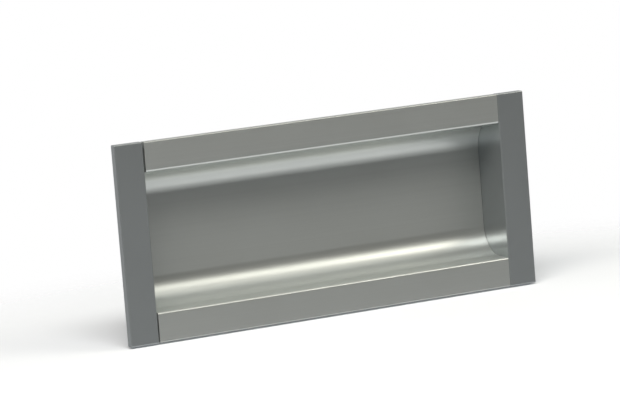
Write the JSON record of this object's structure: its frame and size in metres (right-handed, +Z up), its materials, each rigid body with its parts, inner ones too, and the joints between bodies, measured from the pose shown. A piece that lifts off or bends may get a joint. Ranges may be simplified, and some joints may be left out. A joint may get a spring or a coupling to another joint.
{
  "type": "recessed pull",
  "caption": "Flush let-in pull for a sash, shutter or sliding door: a satin aluminium trough with flat flanges, closed at both ends by grey end caps.",
  "frame": {"origin": "centre of the pull's bounding box, which is the middle of its length and height and half its depth", "axes": "+X along the pull, +Y into the panel that it is let into, so the flanges face -Y, and +Z up"},
  "size_m": [0.16, 0.02, 0.07],
  "materials": {
    "anodised_profile": "satin anodised, with a fine grain along its length",
    "end_caps": "satin grey metallic lacquer on die-cast zinc",
    "screws": "bright zinc plating",
    "foam_tape": "matte closed-cell foam"
  },
  "bodies": {
    "root": {"handle_profile": "anodised_profile", "end_cap_left": "end_caps", "end_cap_right": "end_caps", "cap_screw_left_upper": "screws", "cap_screw_left_lower": "screws", "cap_screw_right_upper": "screws", "cap_screw_right_lower": "screws", "mounting_strip_upper": "foam_tape", "mounting_strip_lower": "foam_tape"}
  },
  "joints": []
}
